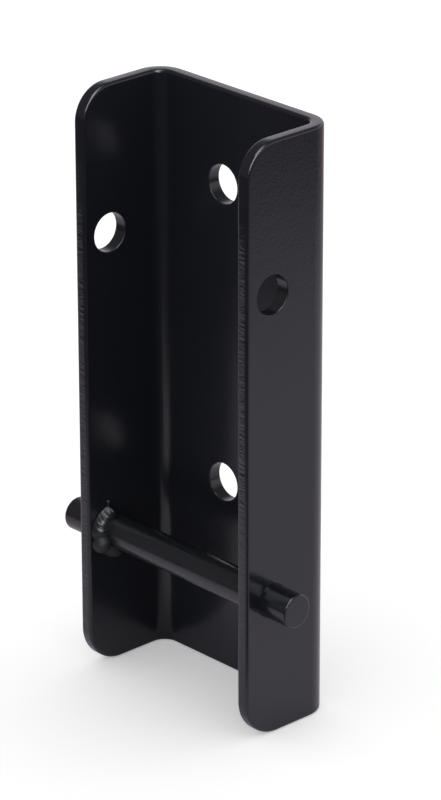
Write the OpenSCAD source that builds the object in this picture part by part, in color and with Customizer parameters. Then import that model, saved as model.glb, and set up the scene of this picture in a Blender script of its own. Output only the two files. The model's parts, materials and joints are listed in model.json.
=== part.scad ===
// Channel bracket with a welded cross pin, a bolt-on adapter plate.
//
// One bent steel plate forms a web and two flanges. The web is bolted flat
// against a frame through two holes, a removable pin goes through the holes
// in both flanges, and a fixed cross pin is welded in near the bottom end.
//
// The origin lies on the back face of the web, midway between the two bolt
// holes. +Y points out of the back face, +X to the right flange as seen from
// the open front, and +Z up. All sizes are in millimetres.

/* [Channel] */
// Width over the outer faces of the flanges
channel_w = 85; // [70:1:140]
// Depth from the back face to the flanges' front edges
channel_d = 40.5; // [36:0.5:80]
// Height of the channel
channel_h = 215; // [180:1:400]
// Thickness of the plate
plate_t = 5; // [3:0.5:8]
// Inside radius of the two bends
bend_r = 5; // [2:0.5:8]
// Radius of the flanges' front corners at the top end
top_corner_r = 12.5; // [4:0.5:16]
// Radius of the flanges' front corners at the bottom end
bottom_corner_r = 14.5; // [4:0.5:16]
// Rounding along the rims of the plate
rim_r = 1.2; // [0.4:0.1:1.4]

/* [Bolt holes in the web] */
// Diameter of the bolt holes
bolt_hole_d = 14; // [8:0.5:20]
// Distance between the two bolt holes
bolt_spacing = 110; // [60:1:130]
// Height of the lower bolt hole above the bottom end
bolt_low_z = 71; // [40:1:75]
// How far the bolt line lies left of the channel's middle
bolt_shift = 7; // [0:0.5:12]

/* [Removable pin holes in the flanges] */
// Diameter of the holes for the removable pin
hitch_hole_d = 14; // [8:0.5:20]
// Height of these holes above the bottom end
hitch_hole_z = 161.5; // [120:0.5:165]
// Distance from the front edges to the middle of these holes
hitch_setback = 11.5; // [11:0.5:18]

/* [Cross pin] */
// Diameter of the cross pin
pin_d = 12; // [8:0.5:16]
// Height of the cross pin above the bottom end
pin_z = 50.5; // [30:0.5:80]
// Distance from the front edges to the middle of the cross pin
pin_setback = 11.5; // [11:0.5:18]
// Length of the pin that stands out of the left flange
pin_out_left = 14.5; // [4:0.5:40]
// Length of the pin that stands out of the right flange
pin_out_right = 12.5; // [6:0.5:40]
// Rounding at the pin's ends
pin_end_r = 0.7; // [0.2:0.1:1.5]
// Gap all round the pin in its two drilled holes, which the weld metal fills
pin_clearance = 0.25; // [0.1:0.05:0.5]

/* [Welds] */
// Radius of one puddle of the bead inside the left flange
puddle_r = 3.3; // [3:0.1:4]
// How far the puddles' middles stand off the flange and the pin
puddle_off = 1.5; // [1.2:0.1:1.8]
// Distance from one puddle to the next along the bead
puddle_pitch = 1.7; // [1.4:0.1:1.9]
// Angle at which the bead starts, from the front of the pin upwards
bead_start_angle = 78; // [30:1:90]
// Angle at which the bead ends, from the front of the pin downwards
bead_end_angle = 84; // [30:1:90]
// Height of the seal weld round the pin on the right flange
seal_h = 0.6; // [0.4:0.1:1]
// Length of the seal weld along the pin
seal_l = 2; // [1.2:0.1:5]

/* [Hidden] */

$fn = 96;
cut = 1;                  // how far a cutter reaches past a face

// Planes of the channel in the frame of the bolt pattern
bottom_z = -(bolt_low_z + bolt_spacing / 2);
middle_x = bolt_shift;
left_face = middle_x - channel_w / 2;
right_face = middle_x + channel_w / 2;
left_inner = left_face + plate_t;
front_y = -channel_d;
bend_outer_r = bend_r + plate_t;

// Lines of the holes and of the pin
hitch_y = front_y + hitch_setback;
hitch_z = bottom_z + hitch_hole_z;
pin_y = front_y + pin_setback;
pin_line_z = bottom_z + pin_z;
pin_r = pin_d / 2;

// The bead's puddles lie on an arc round the pin
puddle_arc_r = pin_r + puddle_off;
puddle_step = puddle_pitch / puddle_arc_r * 180 / PI;
puddle_last = floor((bead_start_angle + bead_end_angle) / puddle_step);

steel = [0.10, 0.10, 0.11];
weld_metal = [0.16, 0.16, 0.17];

// Rectangle with its four corners rounded, from the origin to [w, h]
module eased_rect(w, h, r) {
    translate([r, 0]) square([w - 2 * r, h]);
    translate([0, r]) square([w, h - 2 * r]);
    for (x = [r, w - r], y = [r, h - r])
        translate([x, y]) circle(r);
}

// Half of an eased rectangle: square at x = 0, rounded at x = w
module half_eased_rect(w, h, r) {
    intersection() {
        translate([-w, 0]) eased_rect(2 * w, h, r);
        square([w, h]);
    }
}

// Upright cut through the plate: its thickness along x, its height along y
module plate_section() {
    eased_rect(plate_t, channel_h, rim_r);
}

// Half of a flange, from its middle height up to the end whose front corner
// has the radius r. Its outer face lies in the plane x = 0.
module half_flange(r) {
    half_h = channel_h / 2;
    // from the bend to the line of the corner's centre
    translate([plate_t, -bend_outer_r, 0])
        rotate([90, 0, 0])
            linear_extrude(channel_d - bend_outer_r - r)
                rotate(90) half_eased_rect(half_h, plate_t, rim_r);
    // along the front edge up to the height of the corner's centre
    translate([0, front_y + r, 0])
        linear_extrude(half_h - r)
            rotate(-90) half_eased_rect(r, plate_t, rim_r);
    // the corner, a quarter of a round plate
    translate([0, front_y + r, half_h - r])
        rotate([0, 90, 0])
            rotate(180)
                rotate_extrude(angle = 90) half_eased_rect(r, plate_t, rim_r);
}

// Flange from the bend to the front edge, its outer face in the plane x = 0
module flange() {
    translate([0, 0, bottom_z + channel_h / 2]) {
        half_flange(top_corner_r);
        mirror([0, 0, 1]) half_flange(bottom_corner_r);
    }
}

// Bend that joins a flange at x = 0 to the web at y = 0
module bend() {
    translate([bend_outer_r, -bend_outer_r, bottom_z])
        rotate(90)
            rotate_extrude(angle = 90)
                translate([bend_r, 0]) plate_section();
}

// Web between the two bends, with its back face in the plane y = 0
module web() {
    translate([left_face + bend_outer_r, 0, bottom_z])
        rotate([90, 0, 90])
            linear_extrude(channel_w - 2 * bend_outer_r)
                translate([-plate_t, 0]) plate_section();
}

// Both halves of the bent plate, mirrored about the channel's middle
module bent_plate() {
    web();
    for (side = [0, 1])
        translate([middle_x, 0, 0])
            mirror([side, 0, 0])
                translate([-channel_w / 2, 0, 0]) {
                    flange();
                    bend();
                }
}

// Round cutter along X through both flanges
module flange_bore(d, y, z) {
    translate([left_face - cut, y, z])
        rotate([0, 90, 0])
            cylinder(d = d, h = channel_w + 2 * cut);
}

module channel() {
    color(steel)
        difference() {
            bent_plate();
            for (z = [-1, 1] * bolt_spacing / 2)
                translate([0, cut, z])
                    rotate([90, 0, 0])
                        cylinder(d = bolt_hole_d, h = plate_t + 2 * cut);
            flange_bore(hitch_hole_d, hitch_y, hitch_z);
            flange_bore(pin_d + 2 * pin_clearance, pin_y, pin_line_z);
        }
}

// The bar with the weld metal fused to it: what fills the two drilled holes,
// and the low seal weld on the right flange
module cross_pin() {
    length = pin_out_left + channel_w + pin_out_right;
    color(steel)
        translate([left_face, pin_y, pin_line_z])
            rotate([0, 90, 0])
                rotate_extrude() {
                    translate([0, -pin_out_left]) half_eased_rect(pin_r, length, pin_end_r);
                    for (face = [0, channel_w - plate_t])
                        translate([0, face]) square([pin_r + pin_clearance, plate_t]);
                    translate([0, channel_w]) {
                        square([pin_r + seal_h, seal_l - seal_h]);
                        translate([pin_r, seal_l - seal_h]) circle(seal_h);
                    }
                }
}

// Space taken by the pin, cut out of a weld that lies against it
module pin_space() {
    translate([left_face, pin_y, pin_line_z])
        rotate([0, 90, 0])
            cylinder(r = pin_r, h = channel_w);
}

// One puddle at an angle round the pin, from the front of the pin upwards
module puddle(angle) {
    rotate([-angle, 0, 0])
        translate([puddle_off, -puddle_arc_r, 0])
            sphere(puddle_r, $fn = 32);
}

// Bead of overlapping puddles round the front half of the pin, in the corner
// between the pin and the inner face of the left flange
module inner_weld() {
    color(weld_metal)
        difference() {
            translate([left_inner, pin_y, pin_line_z])
                for (i = [0:puddle_last])
                    puddle(bead_start_angle - i * puddle_step);
            pin_space();
            translate([left_face, front_y, pin_line_z - pin_d - 2 * puddle_r])
                cube([plate_t, channel_d, 2 * pin_d + 4 * puddle_r]);
        }
}

channel();
cross_pin();
inner_weld();
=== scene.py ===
"""Looks of the channel bracket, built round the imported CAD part.

The CAD nodes are replaced by finer pieces of the same sizes: the bent plate with
rounded rims and eased holes, the cross pin, its low seal weld, and the rippled bead.
All of them wear one gloss black paint, with the texture that each surface shows.
Shapes are worked out in millimetres, and mesh_piece() turns them into metres. Places
in the paint and in the studio are in metres.
"""
import json
import math

import bpy
import numpy as np
from mathutils import Matrix, Vector
from mathutils.geometry import delaunay_2d_cdt


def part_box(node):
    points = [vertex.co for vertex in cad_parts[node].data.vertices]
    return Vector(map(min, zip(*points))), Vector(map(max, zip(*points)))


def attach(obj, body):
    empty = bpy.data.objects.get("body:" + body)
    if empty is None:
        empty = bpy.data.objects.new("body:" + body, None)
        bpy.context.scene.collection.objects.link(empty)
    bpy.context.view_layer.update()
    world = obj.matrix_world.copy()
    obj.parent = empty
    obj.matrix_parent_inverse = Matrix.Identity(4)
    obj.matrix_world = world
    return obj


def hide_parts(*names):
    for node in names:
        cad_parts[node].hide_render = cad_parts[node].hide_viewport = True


bpy.context.scene.view_settings.view_transform = "Standard"
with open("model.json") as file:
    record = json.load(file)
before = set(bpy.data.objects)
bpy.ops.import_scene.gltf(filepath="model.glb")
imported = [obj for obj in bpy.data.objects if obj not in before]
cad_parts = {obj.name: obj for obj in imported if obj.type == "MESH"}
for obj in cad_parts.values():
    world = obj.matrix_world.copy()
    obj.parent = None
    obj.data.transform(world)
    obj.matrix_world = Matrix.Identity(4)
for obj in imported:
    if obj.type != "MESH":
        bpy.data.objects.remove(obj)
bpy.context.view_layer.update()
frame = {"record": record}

MM = 0.001


def in_mm(metres):
    return [round(value / MM, 3) for value in metres]


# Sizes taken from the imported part
mounts = {mount["name"]: mount for mount in frame["record"]["mounts"]}
(LEFT_X, FRONT_Y, BOTTOM_Z), (RIGHT_X, _, TOP_Z) = (in_mm(corner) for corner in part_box("channel"))
PIN_LEFT, PIN_RIGHT = (in_mm(corner)[0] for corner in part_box("cross_pin"))
_, PIN_Y, PIN_Z = in_mm(mounts["left_pin_end"]["pos_m"])
PIN_R = mounts["left_pin_end"]["dims"]["r_mm"]
_, HITCH_Y, HITCH_Z = in_mm(mounts["hitch_bore"]["pos_m"])
HITCH_R = mounts["hitch_bore"]["dims"]["r_mm"]
BOLT_X = in_mm(mounts["web_bolts"]["pos_m"])[0]
BOLT_R = mounts["web_bolts"]["dims"]["hole_r_mm"]
BOLT_Z = [side * mounts["web_bolts"]["dims"]["spacing_y_mm"] / 2 for side in (1, -1)]

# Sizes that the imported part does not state, the same as in its source
PLATE_T = 5.0
BEND_R = 5.0
OUTER_R = BEND_R + PLATE_T
TOP_CORNER_R, BOTTOM_CORNER_R = 12.5, 14.5
RIM_R = 1.2
PIN_END_R = 0.7
SEAL_L = 2.0

# Camera
# Fitted to the photograph's edges: it looks at the channel's middle, moved by the aim
TARGET = Vector(((LEFT_X + RIGHT_X) / 2, FRONT_Y / 2, (BOTTOM_Z + TOP_Z) / 2))
AZIMUTH, ELEVATION, ROLL = 46.9125, 22.8706, -0.1177
DISTANCE, AIM_X, AIM_Y = 1470.25, 5.494, 0.9155
LENS, SENSOR = 193.94, 36.0
NEAREST, FARTHEST = 0.05, 50.0


def add_camera():
    az, el, roll = (math.radians(a) for a in (AZIMUTH, ELEVATION, ROLL))
    back = Vector((math.sin(az) * math.cos(el), -math.cos(az) * math.cos(el), math.sin(el)))
    level = Vector((math.cos(az), math.sin(az), 0.0))
    upright = back.cross(level)
    right = math.cos(roll) * level + math.sin(roll) * upright
    up = math.cos(roll) * upright - math.sin(roll) * level
    place = (TARGET + AIM_X * right + AIM_Y * up + DISTANCE * back) * MM
    data = bpy.data.cameras.new("camera")
    data.lens = LENS
    data.sensor_fit = "VERTICAL"
    data.sensor_height = SENSOR
    data.clip_start, data.clip_end = NEAREST, FARTHEST
    camera = bpy.data.objects.new("camera", data)
    bpy.context.scene.collection.objects.link(camera)
    axes = Matrix((right, up, back)).transposed().to_4x4()
    camera.matrix_world = Matrix.Translation(place) @ axes
    bpy.context.scene.camera = camera


# Mesh helpers
def mesh_piece(name, verts, faces, normals, materials, face_slots=None):
    """A piece from vertices in mm that rides on the root body, with exact normals if given."""
    mesh = bpy.data.meshes.new(name)
    mesh.from_pydata([Vector(v) * MM for v in verts], [], faces)
    for material in materials:
        mesh.materials.append(material)
    if face_slots is not None:
        mesh.polygons.foreach_set("material_index", face_slots)
    mesh.polygons.foreach_set("use_smooth", [True] * len(mesh.polygons))
    if normals is not None:
        mesh.normals_split_custom_set_from_vertices([tuple(n) for n in normals])
    mesh.validate()
    piece = bpy.data.objects.new(name, mesh)
    bpy.context.scene.collection.objects.link(piece)
    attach(piece, "root")
    return piece


def strip_faces(a, b, closed=True):
    """Quads between two rows of vertex numbers of the same length."""
    n = len(a)
    last = n if closed else n - 1
    return [(a[i], b[i], b[(i + 1) % n], a[(i + 1) % n]) for i in range(last)]


# Bent plate
# Places along the flat plate: u runs from the left flange's front edge round to the right one's
FLANGE_L = -FRONT_Y - OUTER_R
BEND_L = (BEND_R + PLATE_T / 2) * math.pi / 2
WEB_L = RIGHT_X - LEFT_X - 2 * OUTER_R
U_BEND = FLANGE_L
U_WEB = U_BEND + BEND_L
U_BEND2 = U_WEB + WEB_L
U_RIGHT = U_BEND2 + BEND_L
U_END = U_RIGHT + FLANGE_L

# Steps along the outline and round the holes: how many, and along the web how long
FLANGE_POINTS = 6
BEND_STEPS = 14
WEB_STEP = 4.0
HEIGHT_POINTS = 50
CORNER_STEPS = 28
HOLE_STEPS = 96
PIN_HOLE_STEPS = 64
RIM_STEPS, HOLE_RIM_STEPS = 8, 4

# Easing of the holes, and how far the plate closes in on the pin so that no gap shows there
HOLE_EASE = 0.35
PIN_HOLE_INSET = 0.3
# How far the paint makes the sheared edges look pillowed
PILLOW = math.radians(3)
# Allowance for rounding where the bends begin and end
TINY = 1e-6
# Triangulation: only inside the outline, and points closer than this are made one
INSIDE_OUTLINE, MERGE = 1, 1e-5
# Order of the plate's materials
INSIDE, OUTSIDE, SHEARED, RIMS = range(4)


def on_plate(u, v, w):
    """Place, direction of u and outward normal on the bent plate: v is the height, w goes
    from the inner face (0) to the outer face (PLATE_T)."""
    r = BEND_R + w
    if u <= U_BEND:
        return (LEFT_X + PLATE_T - w, FRONT_Y + u, v), (0, 1, 0), (-1, 0, 0)
    if u < U_WEB:
        a = (u - U_BEND) / BEND_L * math.pi / 2
        s, c = math.sin(a), math.cos(a)
        return (LEFT_X + OUTER_R - r * c, -OUTER_R + r * s, v), (s, c, 0), (-c, s, 0)
    if u <= U_BEND2:
        return (LEFT_X + OUTER_R + u - U_WEB, w - PLATE_T, v), (1, 0, 0), (0, 1, 0)
    if u < U_RIGHT:
        a = (u - U_BEND2) / BEND_L * math.pi / 2
        s, c = math.sin(a), math.cos(a)
        return (RIGHT_X - OUTER_R + r * s, -OUTER_R + r * c, v), (c, -s, 0), (s, c, 0)
    return (RIGHT_X - PLATE_T + w, -OUTER_R - (u - U_RIGHT), v), (0, -1, 0), (1, 0, 0)


def plate_outline():
    """Outline of the flat plate as (u, v, outward direction), anticlockwise, and the pairs
    of point numbers, bottom and top, between which the bends' lines run."""
    middle = list(np.linspace(U_BEND, U_WEB, BEND_STEPS + 1))[:-1]
    middle += list(np.linspace(U_WEB, U_BEND2, int(WEB_L / WEB_STEP) + 1))[:-1]
    middle += list(np.linspace(U_BEND2, U_RIGHT, BEND_STEPS + 1))

    def row(r):
        return (list(np.linspace(r, U_BEND, FLANGE_POINTS))[:-1] + middle
                + list(np.linspace(U_RIGHT, U_END - r, FLANGE_POINTS))[1:])

    def corner(u, v, r, start):
        for i in range(1, CORNER_STEPS):
            a = math.radians(start + 90.0 * i / CORNER_STEPS)
            d = (math.cos(a), math.sin(a))
            points.append((u + r * d[0], v + r * d[1], d))

    low, high = BOTTOM_Z + BOTTOM_CORNER_R, TOP_Z - TOP_CORNER_R
    heights = list(np.linspace(low, high, HEIGHT_POINTS))
    points = [(u, BOTTOM_Z, (0.0, -1.0)) for u in row(BOTTOM_CORNER_R)]
    bottom = range(len(points))
    corner(U_END - BOTTOM_CORNER_R, low, BOTTOM_CORNER_R, 270)
    points += [(U_END, v, (1.0, 0.0)) for v in heights]
    corner(U_END - TOP_CORNER_R, high, TOP_CORNER_R, 0)
    first = len(points)
    points += [(u, TOP_Z, (0.0, 1.0)) for u in reversed(row(TOP_CORNER_R))]
    top = reversed(range(first, len(points)))
    corner(TOP_CORNER_R, high, TOP_CORNER_R, 90)
    points += [(0.0, v, (-1.0, 0.0)) for v in reversed(heights)]
    corner(BOTTOM_CORNER_R, low, BOTTOM_CORNER_R, 180)

    def in_bend(u):
        return U_BEND - TINY <= u <= U_WEB + TINY or U_BEND2 - TINY <= u <= U_RIGHT + TINY

    return points, [ends for ends in zip(bottom, top) if in_bend(points[ends[0]][0])]


def plate_holes():
    """Holes of the flat plate as (u, v, radius, easing, steps round it)."""
    u_bolt = U_WEB + BOLT_X - (LEFT_X + OUTER_R)
    u_hitch, u_pin = HITCH_Y - FRONT_Y, PIN_Y - FRONT_Y
    holes = [(u_bolt, z, BOLT_R, HOLE_EASE, HOLE_STEPS) for z in BOLT_Z]
    holes += [(u, HITCH_Z, HITCH_R, HOLE_EASE, HOLE_STEPS) for u in (u_hitch, U_END - u_hitch)]
    holes += [(u, PIN_Z, PIN_R - PIN_HOLE_INSET, 0.0, PIN_HOLE_STEPS) for u in (u_pin, U_END - u_pin)]
    return holes


def round_hole(u, v, r, steps):
    """Rim of a hole as (u, v, direction into the hole), clockwise."""
    rim = []
    for i in range(steps):
        a = -2 * math.pi * i / steps
        rim.append((u + r * math.cos(a), v + r * math.sin(a), (-math.cos(a), -math.sin(a))))
    return rim


def flat_face(loops, bend_lines, holes):
    """Flat part of a face between its rims: points in (u, v) and the triangles on them."""
    points, edges = [], []
    for loop, ease in loops:
        row = list(range(len(points), len(points) + len(loop)))
        points += [Vector((u - ease * d[0], v - ease * d[1])) for u, v, d in loop]
        edges += zip(row, row[1:] + row[:1])
    outline = list(range(len(loops[0][0])))
    edges += bend_lines
    points, _, triangles, *_ = delaunay_2d_cdt(points, edges, [outline], INSIDE_OUTLINE, MERGE)

    def in_hole(u, v):
        return any(math.hypot(u - at_u, v - at_v) < r + ease for at_u, at_v, r, ease, _ in holes)

    kept = []
    for triangle in triangles:
        middle = sum((points[i] for i in triangle), Vector((0, 0))) / 3
        if not in_hole(*middle):
            kept.append(tuple(triangle))
    return points, kept


def rim_levels(ease, steps, pillow):
    """Levels from the inner face over both rims to the outer face, each as (inset from the
    cut face, place across the plate, tilt of the normal)."""
    levels = []
    for side in (-1, 1):
        for i in range(steps + 1):
            a = math.pi / 2 * (i / steps - 1 if side < 0 else i / steps)
            w = ease * (1 + math.sin(a)) if side < 0 else PLATE_T - ease * (1 - math.sin(a))
            tilt = side * pillow + a * (1 - pillow * 2 / math.pi)
            levels.append((ease * (1 - math.cos(a)), w, tilt))
    return levels


def bent_plate(materials):
    """The plate with its rims and holes, drawn flat and placed round the bends."""
    outline, bend_lines = plate_outline()
    holes = plate_holes()
    loops = [(outline, RIM_R)]
    loops += [(round_hole(u, v, r, steps), ease) for u, v, r, ease, steps in holes]
    flat, triangles = flat_face(loops, bend_lines, holes)
    points, normals, faces, slots = [], [], [], []

    def add(u, v, w, tilt, outwards=(0.0, 0.0)):
        """A vertex whose normal is tilted from the direction outwards to the face's own."""
        place, along, out = (Vector(x) for x in on_plate(u, v, w))
        side = outwards[0] * along + outwards[1] * Vector((0, 0, 1))
        normals.append((math.cos(tilt) * side + math.sin(tilt) * out).normalized())
        points.append(place)
        return len(points) - 1

    for w, turn, slot in ((0.0, -1, INSIDE), (PLATE_T, 1, OUTSIDE)):
        base = [add(p.x, p.y, w, turn * math.pi / 2) for p in flat]
        for triangle in triangles:
            faces.append(tuple(base[i] for i in (triangle if turn < 0 else reversed(triangle))))
            slots.append(slot)

    for n, (loop, ease) in enumerate(loops):
        steps, pillow = (RIM_STEPS, PILLOW) if n == 0 else (HOLE_RIM_STEPS, 0.0)
        levels = rim_levels(ease, steps, pillow) if ease else [(0.0, 0.0, 0.0), (0.0, PLATE_T, 0.0)]
        rows = [[add(u - inset * d[0], v - inset * d[1], w, tilt, d) for u, v, d in loop]
                for inset, w, tilt in levels]
        for k, (lower, upper) in enumerate(zip(rows, rows[1:])):
            quads = strip_faces(lower, upper)
            faces += quads
            slots += [SHEARED if n == 0 and k == steps else RIMS] * len(quads)

    piece = mesh_piece("bent_plate", points, faces, normals, materials, slots)
    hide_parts("channel")


# Cross pin
END_STEPS = 8
BAR_RINGS, BAR_STEPS = 20, 96
# A ring just inside the end face's rim, as a share of its radius, keeps the face flat
END_RING = 0.98


def turned(name, profile, steps, materials, wobble=None):
    """A piece turned about the pin's axis from (x, r, normal x, normal r) points. With a
    wobble, which is added to its radius, its normals are left to Blender."""
    verts, normals, faces, rows = [], [], [], []
    for x, r, normal_x, normal_r in profile:
        row = []
        for i in range(steps):
            a = 2 * math.pi * i / steps
            c, s = math.cos(a), math.sin(a)
            radius = r + (wobble(x, a) if wobble else 0.0)
            row.append(len(verts))
            verts.append((x, PIN_Y + radius * c, PIN_Z + radius * s))
            normals.append(Vector((normal_x, normal_r * c, normal_r * s)).normalized())
        rows.append(row)
    for a, b in zip(rows, rows[1:]):
        faces += strip_faces(b, a)
    faces.append(tuple(reversed(rows[0])))
    faces.append(tuple(rows[-1]))
    return mesh_piece(name, verts, faces, None if wobble else normals, materials)


def pin_end(x, way):
    """Profile of the pin's end at x that faces way, from its end face to its side."""
    flat_r = PIN_R - PIN_END_R
    profile = [(x, flat_r * END_RING, way, 0)]
    for i in range(END_STEPS + 1):
        a = math.pi / 2 * i / END_STEPS
        profile.append((x - way * PIN_END_R * (1 - math.cos(a)), flat_r + PIN_END_R * math.sin(a),
                        way * math.cos(a), math.sin(a)))
    return profile


def cross_pin(paint):
    side = [(float(x), PIN_R, 0, 1) for x in np.linspace(PIN_LEFT + PIN_R, PIN_RIGHT - PIN_R, BAR_RINGS)]
    profile = pin_end(PIN_LEFT, -1) + side + pin_end(PIN_RIGHT, 1)[::-1]
    piece = turned("cross_bar", profile, BAR_STEPS, [paint])
    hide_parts("cross_pin")


# Seal weld
# Its height at the flange, how it thins out, and how far its thin end sinks into the pin
SEAL_H = 0.27
SEAL_CURVE = 1.1
SEAL_SINK = 0.02
# Its lumps: their height, and the waves they are made of as (share, number round the pin, turn)
LUMP_H = 0.12
LUMP_WAVES = [(0.5, 2, 0.7), (0.3, 7, 2.0), (0.2, 17, 0.0)]
SEAL_STEPS, SEAL_ROUND_STEPS = 16, 192


def seal_weld(paint):
    """Low uneven weld round the pin on the right flange, thinning out along the pin."""
    profile = []
    for i in range(SEAL_STEPS + 1):
        t = i / SEAL_STEPS
        r = PIN_R + SEAL_H * (1 - t) ** SEAL_CURVE - SEAL_SINK * t
        profile.append((RIGHT_X + SEAL_L * t, r, 0, 1))

    def wobble(x, a):
        fade = 1 - (x - RIGHT_X) / SEAL_L
        lumps = sum(share * math.sin(number * a + turn) for share, number, turn in LUMP_WAVES)
        return fade * LUMP_H * lumps

    piece = turned("seal_weld", profile, SEAL_ROUND_STEPS, [paint], wobble)
    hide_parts("cross_pin")


# Weld bead
# The bead's legs on the flange and on the pin, against the angle from the pin's front
BEAD_LEGS = [(89, 0.3, 0.2), (83, 2.6, 1.9), (75, 4.1, 2.8), (60, 4.0, 3.1), (30, 4.4, 3.3),
             (8, 4.5, 3.6), (-6, 3.6, 3.2), (-36, 3.1, 3.2), (-55, 3.2, 3.8), (-72, 4.2, 4.2),
             (-88, 5.0, 4.2), (-97, 4.8, 3.4), (-106, 0.4, 0.3)]
BEAD_ANGLES, FLANGE_LEGS, PIN_LEGS = zip(*reversed(BEAD_LEGS))
BEAD_STEPS, BEAD_ACROSS_STEPS = 300, 36
# How far the bead bulges out over the straight line between its legs, as a share
BULGE = 0.42

# Ripples, in degrees along the bead: their step, how far they bow, and how unevenly they run
RIPPLE_STEP = 15.0
RIPPLE_BOW = 8
RIPPLE_SWAY, RIPPLE_SWAY_RATE = 2.2, 0.23
# Their height as a share, and how much of it shows at which angles
RIPPLE_H = 0.06
RIPPLE_FADE = ((4, 14, 78, 84), (0, 1, 1, 0))

# Last puddle, a smooth ball: its distance from the flange, in front of and above the pin's line
BALL = (1.7, 7.3, -2.9)
BALL_R = 3.4
# Faint rings round it: height, step and spread, and down to which angle along the bead
RING_H, RING_STEP, RING_SPREAD = 0.07, 1.6, 2.5
RINGS_END = -40

# Drop of spatter above the bead, and the thin thread under it: place like the ball's, and radii
SPATTER = [((0.2, 2.7, 11.2), (0.75, 0.75, 0.8)), ((0.05, 2.7, 10.1), (0.4, 0.45, 1.1))]
DROP_STEPS, DROP_ROUND_STEPS = 8, 16


def by_the_pin(off_flange, in_front, above):
    """A place measured from where the pin's line meets the left flange's inner face."""
    return Vector((LEFT_X + PLATE_T + off_flange, PIN_Y - in_front, PIN_Z + above))


def ball_reach(origin, way, centre, radius):
    """How far a ray goes until it leaves a ball, or 0 where it misses it."""
    gap = centre - origin
    along = gap.dot(way)
    left = radius ** 2 - (gap.length_squared - along ** 2)
    return along + math.sqrt(left) if left > 0 else 0.0


def bead_point(deg, phi):
    """Point of the bead: deg is the angle up from the pin's front, phi goes across the bead
    from the flange to the pin."""
    a = math.radians(deg)
    radial = Vector((0, -math.cos(a), math.sin(a)))
    root = by_the_pin(0, 0, 0) + PIN_R * radial
    way = math.cos(phi) * radial + math.sin(phi) * Vector((1, 0, 0))
    on_flange, on_pin = (float(np.interp(deg, BEAD_ANGLES, legs)) for legs in (FLANGE_LEGS, PIN_LEGS))
    hump = math.sin(2 * phi)
    reach = (1 + BULGE * hump) / (math.cos(phi) / on_flange + math.sin(phi) / on_pin)

    # crescent ripples down to the ball, sharp in the valleys
    turn = (deg + RIPPLE_BOW * hump + RIPPLE_SWAY * math.sin(deg * RIPPLE_SWAY_RATE)) / RIPPLE_STEP
    crest = 0.5 - 0.5 * math.cos(2 * math.pi * turn) + 0.25 * math.cos(4 * math.pi * turn)
    fade = float(np.interp(deg, *RIPPLE_FADE))
    reach *= 1 + RIPPLE_H * fade * hump * (crest - 0.5)

    # rings round the ball, then the ball itself
    ball = by_the_pin(*BALL)
    off = (root + reach * way - ball).length - BALL_R
    if deg > RINGS_END:
        ring = math.cos(2 * math.pi * off / RING_STEP) * math.exp(-off ** 2 / RING_SPREAD)
        reach += RING_H * ring * hump
    reach = max(reach, ball_reach(root, way, ball, BALL_R))
    return root + max(reach, 0.0) * way


def add_drop(verts, faces, centre, radii):
    first = len(verts)
    for i in range(DROP_STEPS + 1):
        t = math.pi * i / DROP_STEPS
        for j in range(DROP_ROUND_STEPS):
            a = 2 * math.pi * j / DROP_ROUND_STEPS
            unit = (math.sin(t) * math.cos(a), math.sin(t) * math.sin(a), math.cos(t))
            verts.append([c + r * k for c, r, k in zip(centre, radii, unit)])
    for i in range(DROP_STEPS):
        upper = list(range(first + i * DROP_ROUND_STEPS, first + (i + 1) * DROP_ROUND_STEPS))
        faces += strip_faces([k + DROP_ROUND_STEPS for k in upper], upper)


def weld_bead(paint):
    """Coarsely rippled bead round the front of the pin, in the corner between the pin and
    the left flange, ending in a smooth ball, with one drop of spatter above it."""
    verts, faces, rows = [], [], []
    for i in range(BEAD_STEPS + 1):
        deg = BEAD_ANGLES[-1] + (BEAD_ANGLES[0] - BEAD_ANGLES[-1]) * i / BEAD_STEPS
        rows.append(range(len(verts), len(verts) + BEAD_ACROSS_STEPS + 1))
        verts += [bead_point(deg, math.pi / 2 * j / BEAD_ACROSS_STEPS) for j in range(BEAD_ACROSS_STEPS + 1)]
    for a, b in zip(rows, rows[1:]):
        faces += strip_faces(a, b, closed=False)
    for place, radii in SPATTER:
        add_drop(verts, faces, by_the_pin(*place), radii)
    piece = mesh_piece("weld_bead", verts, faces, None, [paint])
    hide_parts("inner_weld")


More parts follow.
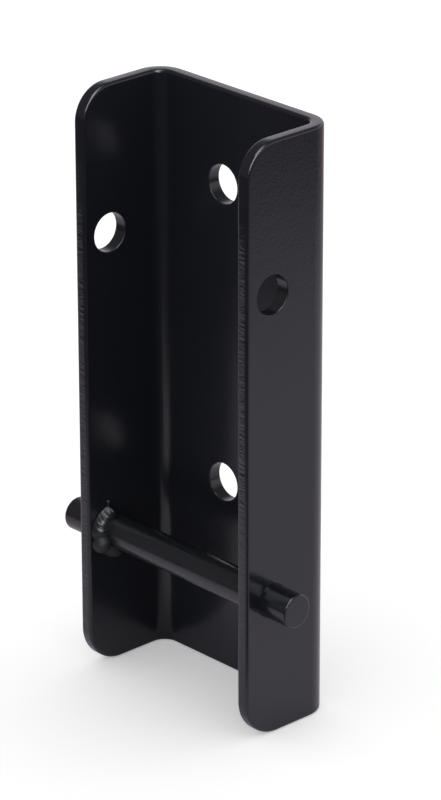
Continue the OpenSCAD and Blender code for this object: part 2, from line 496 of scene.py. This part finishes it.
# Nodes
class Nodes:
    """Short calls for building the nodes of a material or of the world."""

    def __init__(self, owner, shader, coordinates):
        owner.use_nodes = True
        self.owner = owner
        self.tree = owner.node_tree
        self.shader = self.tree.nodes[shader]
        self.place = self.node("ShaderNodeTexCoord", {}).outputs[coordinates]
        self.normal = None

    def feed(self, socket, value):
        """Link an output to a socket, or set a plain value there."""
        if isinstance(value, bpy.types.NodeSocket):
            self.tree.links.new(value, socket)
        else:
            socket.default_value = value

    def set(self, name, value):
        self.feed(self.shader.inputs[name], value)

    def node(self, kind, inputs, **settings):
        new = self.tree.nodes.new(kind)
        for name, value in settings.items():
            setattr(new, name, value)
        for name, value in inputs.items():
            self.feed(new.inputs[name], value)
        return new

    def math(self, operation, *values):
        new = self.node("ShaderNodeMath", {}, operation=operation)
        for socket, value in zip(new.inputs, values):
            self.feed(socket, value)
        return new.outputs[0]

    def times(self, a, b):
        return self.math("MULTIPLY", a, b)

    def axes(self):
        return self.node("ShaderNodeSeparateXYZ", {"Vector": self.place}).outputs

    def ray(self, kind):
        """1 for the rays of a kind, such as Camera, and 0 for all others."""
        return self.node("ShaderNodeLightPath", {}).outputs["Is %s Ray" % kind]

    def ramp(self, value, low, high, to_low=0.0, to_high=1.0):
        inputs = {"Value": value, "From Min": low, "From Max": high, "To Min": to_low, "To Max": to_high}
        return self.node("ShaderNodeMapRange", inputs, interpolation_type="SMOOTHSTEP").outputs[0]

    def band(self, value, low, high, soft):
        """1 between low and high, fading out over soft on both sides."""
        return self.times(self.ramp(value, low - soft, low), self.ramp(value, high, high + soft, 1.0, 0.0))

    def mix(self, factor, a, b, data_type="RGBA"):
        inputs = {"Factor": factor, "A": a, "B": b}
        return self.node("ShaderNodeMix", inputs, data_type=data_type).outputs["Result"]

    def noise(self, scale, detail=2.0, rough=0.5, stretch=(1, 1, 1), turn=(0, 0, 0)):
        place = self.node("ShaderNodeMapping", {"Vector": self.place, "Scale": stretch, "Rotation": turn})
        inputs = {"Vector": place.outputs[0], "Scale": scale, "Detail": detail, "Roughness": rough}
        return self.node("ShaderNodeTexNoise", inputs).outputs[0]

    def add_bump(self, height, distance, strength=1.0):
        """Lay a bump over those laid so far."""
        new = self.node("ShaderNodeBump", {"Height": height, "Distance": distance, "Strength": strength})
        if self.normal is not None:
            self.feed(new.inputs["Normal"], self.normal)
        self.normal = new.outputs[0]

    def painted(self):
        """The material, with all its bumps."""
        self.set("Normal", self.normal)
        return self.owner


def material_nodes(name):
    return Nodes(bpy.data.materials.new(name), "Principled BSDF", "Object")


# Paint
PAINT = (0.0086, 0.0092, 0.0122, 1)
# Inside the channel the same paint is made a little lighter and bluer: painted fill light in its shade
INNER_PAINT_PAINTED_FILL = (0.0088, 0.0098, 0.0137, 1)
RED_LINE = (0.06, 0.008, 0.008, 1)
PAINT_IOR = 1.5
# Noises are given as (scale, detail, roughness), of which the last ones may be left out.
# Patches of different gloss, and the span in which their noise mostly lies
PATCHES, PATCH_SPAN = (60, 3), (0.3, 0.7)
# The paint's fine grain and its long low waves: scale and height
GRAIN_SCALE, GRAIN_H = 1100, 0.000022
WAVE_SCALE, WAVE_H = 160, 0.00004

# Mill grain on the outer faces: its height, and from which level to which it grows, and how much
MILL_NOISE, MILL_H = (1000, 3, 0.65), 0.00005
MILL_Z = (-0.030, 0.060, 0.25, 1.0)
# On the right bend, beyond the first of these: a dull strip and a red line, by depth and height
BEND_X = (0.044, 0.046)
DULL_Y, DULL_Z = (-0.0092, -0.0068, 0.0006), (0.052, 0.070)
DULL_NOISE, DULL_SPAN = (900, 3), (0.3, 0.65, 0.15, 0.55)
LINE_Y, LINE_Z = (-0.0066, -0.0063, 0.0002), (0.055, 0.075)
# Specular level of the plain paint, and where the strip or the line is at its strongest
SHINE, DULL_SHINE = 0.5, 0.05

# Shear marks: their height, size and slant, and where they show on each front edge
SHEAR_NOISE, SHEAR_H = (1.0, 3, 0.6), 0.0007
SHEAR_STRETCH, SHEAR_TURN = (160, 160, 850), (0.0, 0.2, 0.0)
LEFT_EDGE_X, LEFT_SHEAR_Z, LEFT_SHEAR = (-0.010, -0.012), (0.058, 0.042), 0.5
RIGHT_EDGE_X, RIGHT_SHEAR_Z = (0.010, 0.012), (-0.035, 0.050, 0.012)
FAINT_SHEAR_Z, FAINT_SHEAR = (0.070, 0.060), 0.3

# Bead's paint: matt up to the first height over the pin's line, and bright from the second up
BEAD_CHANGE = (0.5, 2.5)
BEAD_ROUGH, BEAD_SHINE = (0.6, 0.34), (0.42, 0.5)


def gloss_paint(name, rough, grain=1.0, waves=1.0):
    """Gloss black paint: smooth, with a fine grain and long low waves in it."""
    m = material_nodes(name)
    m.set("Base Color", PAINT)
    m.set("IOR", PAINT_IOR)
    m.set("Roughness", m.ramp(m.noise(*PATCHES), *PATCH_SPAN, *rough))
    m.add_bump(m.noise(GRAIN_SCALE), GRAIN_H * grain)
    m.add_bump(m.noise(WAVE_SCALE), WAVE_H * waves)
    return m


def plain_paint(name, rough, grain=1.0, waves=1.0):
    return gloss_paint(name, rough, grain, waves).painted()


def inner_paint():
    """Paint inside the channel, a little lighter and bluer than outside: painted fill light in the channel's
    shade.
    """
    m = gloss_paint("paint_inside_painted_fill", rough=(0.21, 0.25), grain=0.3, waves=0.5)
    m.set("Base Color", INNER_PAINT_PAINTED_FILL)
    return m.painted()


def outer_paint():
    """Paint outside: mill grain under it towards the top, and a dull strip with a thin
    reddish line down the upper part of the right bend."""
    m = gloss_paint("paint_outside", rough=(0.12, 0.18), grain=0.7)
    x, y, z = m.axes()
    m.add_bump(m.noise(*MILL_NOISE), MILL_H, m.ramp(z, *MILL_Z))
    on_bend = m.ramp(x, *BEND_X)
    dull = m.times(m.times(on_bend, m.ramp(z, *DULL_Z)), m.band(y, *DULL_Y))
    dull = m.times(dull, m.ramp(m.noise(*DULL_NOISE), *DULL_SPAN))
    line = m.times(m.times(on_bend, m.ramp(z, *LINE_Z)), m.band(y, *LINE_Y))
    m.set("Specular IOR Level", m.ramp(m.math("MAXIMUM", dull, line), 0.0, 1.0, SHINE, DULL_SHINE))
    m.set("Base Color", m.mix(line, PAINT, RED_LINE))
    return m.painted()


def edge_paint():
    """Paint on the sheared edges: short slanted strokes that show through, strongest
    over the middle of the height."""
    m = gloss_paint("paint_on_sheared_edges", rough=(0.13, 0.22), grain=0.8)
    x, _, z = m.axes()
    left = m.times(m.times(m.ramp(x, *LEFT_EDGE_X), m.ramp(z, *LEFT_SHEAR_Z)), LEFT_SHEAR)
    right = m.times(m.ramp(x, *RIGHT_EDGE_X), m.band(z, *RIGHT_SHEAR_Z))
    faint = m.times(m.ramp(z, *FAINT_SHEAR_Z), FAINT_SHEAR)
    where = m.math("MAXIMUM", m.math("MAXIMUM", left, right), faint)
    m.add_bump(m.noise(*SHEAR_NOISE, SHEAR_STRETCH, SHEAR_TURN), SHEAR_H, where)
    return m.painted()


def weld_paint():
    """Paint on the bead: bright on its upper ripples, matt on the ball and below it."""
    m = gloss_paint("paint_on_weld", rough=(0.1, 0.16), grain=0.4, waves=0.6)
    _, _, z = m.axes()
    low, high = ((PIN_Z + height) * MM for height in BEAD_CHANGE)
    m.set("Roughness", m.ramp(z, low, high, *BEAD_ROUGH))
    m.set("Specular IOR Level", m.ramp(z, low, high, *BEAD_SHINE))
    return m.painted()


# Floor
FLOOR_HALF = 6.0
FLOOR = 0.95
# Own light of the floor as the camera sees it, which brings it up to white
FLOOR_LIFT = 0.28
FLOOR_ROUGHNESS = 0.9
WHITE, BLACK = (1, 1, 1, 1), (0, 0, 0, 1)
# Colour of what the paint reflects of the studio, and how light the floor is in it
STUDIO_TINT = (1.0, 0.935, 1.035)
FLOOR_REFLECTED = 0.97

# Painted pool of light on the reflected floor: how it fades to the front, right and back, and
# darkens away from the middle, from where to where, and from which level to which
FLOOR_FRONT_Y = (-0.258, -0.220, 0.06, 1.0)
FLOOR_RIGHT_X = (0.240, 0.600, 1.0, 0.2)
FLOOR_BACK_Y = (0.300, 0.500, 1.0, 0.6)
FLOOR_APART = (0.040, 0.200, 1.0, 0.84)
# Painted shadow of the part in it, a dark wedge to the front right: its point, its two soft sides in
# degrees, how it sets in
WEDGE_X, WEDGE_Y = -0.027, -0.007
WEDGE_FROM, WEDGE_TO = (-56, -40), (-20, -5)
WEDGE_APART = (0.080, 0.150)
WEDGE_LEVEL = 0.08


def floor_material():
    """Pale floor: white to the camera, and to whatever reflects it a painted pool of light that
    fades towards the front, the right and the back, with a painted shadow, a dark wedge, to the front right."""
    m = material_nodes("studio_floor")
    x, y, _ = m.axes()
    apart = m.node("ShaderNodeVectorMath", {}, operation="LENGTH")
    m.feed(apart.inputs[0], m.place)
    apart = apart.outputs["Value"]
    # painted pool of light: fades to the front, right and back, and is lighter close to the part
    painted_pool = m.times(m.ramp(y, *FLOOR_FRONT_Y), m.ramp(x, *FLOOR_RIGHT_X))
    painted_pool = m.times(m.times(painted_pool, m.ramp(y, *FLOOR_BACK_Y)), m.ramp(apart, *FLOOR_APART))

    # painted shadow of the part: a dark wedge to the front right, setting in a little way from it
    way = m.math("ARCTAN2", m.math("SUBTRACT", y, WEDGE_Y), m.math("SUBTRACT", x, WEDGE_X))
    into, out_of = (tuple(math.radians(a) for a in side) for side in (WEDGE_FROM, WEDGE_TO))
    painted_shadow = m.times(m.ramp(way, *into), m.ramp(way, *out_of, 1.0, 0.0))
    painted_shadow = m.times(painted_shadow, m.ramp(apart, *WEDGE_APART))
    painted_pool = m.times(painted_pool, m.ramp(painted_shadow, 0.0, 1.0, 1.0, WEDGE_LEVEL))

    tint = tuple(FLOOR_REFLECTED * c for c in STUDIO_TINT) + (1,)
    reflected = m.mix(painted_pool, BLACK, tint)
    m.set("Base Color", m.mix(m.ray("Glossy"), (FLOOR, FLOOR, FLOOR, 1), reflected))
    m.set("Emission Color", WHITE)
    m.set("Emission Strength", m.times(m.ray("Camera"), FLOOR_LIFT))
    m.set("Roughness", FLOOR_ROUGHNESS)
    m.set("Specular IOR Level", 0.0)
    return m.owner


def add_floor():
    mesh = bpy.data.meshes.new("floor")
    s = FLOOR_HALF
    mesh.from_pydata([(-s, -s, 0), (s, -s, 0), (s, s, 0), (-s, s, 0)], [], [(0, 1, 2, 3)])
    floor = bpy.data.objects.new("floor", mesh)
    floor.location.z = BOTTOM_Z * MM
    bpy.context.scene.collection.objects.link(floor)
    mesh.materials.append(floor_material())


# World and lamps
# Level of the plain soft light at the horizon and overhead
WORLD_LIGHT = (1.3, 0.7)
WORLD_LIGHT_Z = (0.1, 0.9)
# Reflected backdrop: its dim level, and where it turns pale low down and behind the part
DIM = 0.20
BACKDROP_Y, BACKDROP_Z = (-0.1, 0.5), (0.66, 0.34)
LAMP_COLOUR = (0.92, 0.96, 1.0)


def add_world():
    """White to the camera, also through anything clear. Reflections see a backdrop that is
    pale low down behind the part and dim overhead and in front, and all the rest is a plain
    soft light."""
    world = bpy.data.worlds.new("studio")
    bpy.context.scene.world = world
    m = Nodes(world, "Background", "Generated")
    _, y, z = m.axes()
    backdrop = m.ramp(z, *BACKDROP_Z, DIM, m.ramp(y, *BACKDROP_Y, DIM, 1.0))
    even = m.ramp(z, *WORLD_LIGHT_Z, *WORLD_LIGHT)
    strength = m.mix(m.ray("Glossy"), even, backdrop, "FLOAT")
    strength = m.mix(m.ray("Transmission"), strength, 1.0, "FLOAT")
    m.set("Strength", m.mix(m.ray("Camera"), strength, 1.0, "FLOAT"))
    m.set("Color", m.mix(m.ray("Glossy"), WHITE, STUDIO_TINT + (1,)))


def add_lamp(name, direction, along, distance, size, power):
    """A rectangular lamp that looks at the middle of the part, its long side along, and
    is seen in the gloss of the paint only: the world gives the even light."""
    data = bpy.data.lights.new(name, "AREA")
    data.shape = "RECTANGLE"
    data.size, data.size_y = size
    data.energy = power
    data.color = LAMP_COLOUR
    lamp = bpy.data.objects.new(name, data)
    bpy.context.scene.collection.objects.link(lamp)
    lamp.visible_diffuse = False
    way = Vector(direction).normalized()
    across = Vector(along).cross(way).normalized()
    axes = Matrix((across, way.cross(across), way)).transposed().to_4x4()
    lamp.matrix_world = Matrix.Translation(TARGET * MM + way * distance) @ axes


# Scene
add_camera()
bent_plate([inner_paint(), outer_paint(), edge_paint(),
            plain_paint("paint_on_rims", rough=(0.18, 0.26), grain=0.5, waves=0.5)])
cross_pin(plain_paint("paint_on_bar", rough=(0.2, 0.3), grain=0.4))
seal_weld(plain_paint("paint_on_seal_weld", rough=(0.14, 0.2), grain=2.0, waves=2.0))
weld_bead(weld_paint())
add_floor()
add_world()
add_lamp("side_box", direction=(0.735, -0.33, 0.60), along=(-0.06, 0.74, 0.84),
         distance=1.6, size=(0.55, 1.5), power=25)
add_lamp("top_box", direction=(0.25, -0.15, 0.95), along=(0, 1, 0),
         distance=1.6, size=(0.7, 0.9), power=12)
